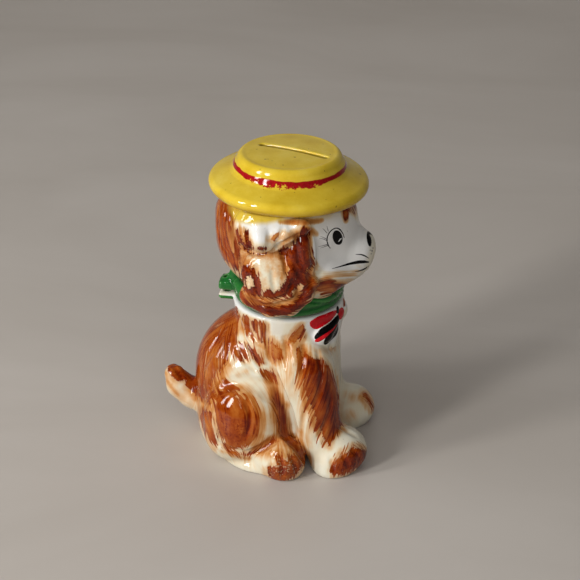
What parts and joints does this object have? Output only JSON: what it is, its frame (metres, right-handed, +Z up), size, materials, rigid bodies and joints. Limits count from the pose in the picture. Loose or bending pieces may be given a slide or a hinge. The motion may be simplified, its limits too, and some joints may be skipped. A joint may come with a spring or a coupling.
{
  "type": "coin bank",
  "caption": "Seated dog coin bank in glazed ceramic: coin slot in the crown of its brimmed hat, hollow head that lifts off the hollow body, and rear lugs that take a padlock.",
  "frame": {"origin": "centre of the bounding box on the plane that the bank stands on", "axes": "+Z up, the dog faces +X, its right side is towards -Y"},
  "size_m": [0.1119, 0.0946, 0.1622],
  "materials": {
    "body_glaze": "gloss, cream with brushed brown coat",
    "brown_glaze": "gloss, brushed red-brown",
    "face_glaze": "gloss, cool white",
    "hat_glaze": "gloss, golden yellow with a red band",
    "green_glaze": "gloss, translucent green",
    "bow_enamel": "gloss enamel, red and black on white"
  },
  "bodies": {
    "body": {"body_shell": "body_glaze", "right_foreleg": "body_glaze", "left_foreleg": "body_glaze", "right_hind_foot": "body_glaze", "left_hind_foot": "body_glaze", "tail": "brown_glaze", "chest_bow": "bow_enamel", "body_hasp_lug": "green_glaze"},
    "head": {"head_shell": "face_glaze", "hat": "hat_glaze", "right_ear": "brown_glaze", "left_ear": "brown_glaze", "neckerchief": "green_glaze", "head_hasp_lug": "green_glaze"}
  },
  "joints": [
    {"name": "head_lift", "type": "slide", "parent": "body", "child": "head", "axis": [0, 0, 1], "range_m": [0, 0.06]}
  ]
}
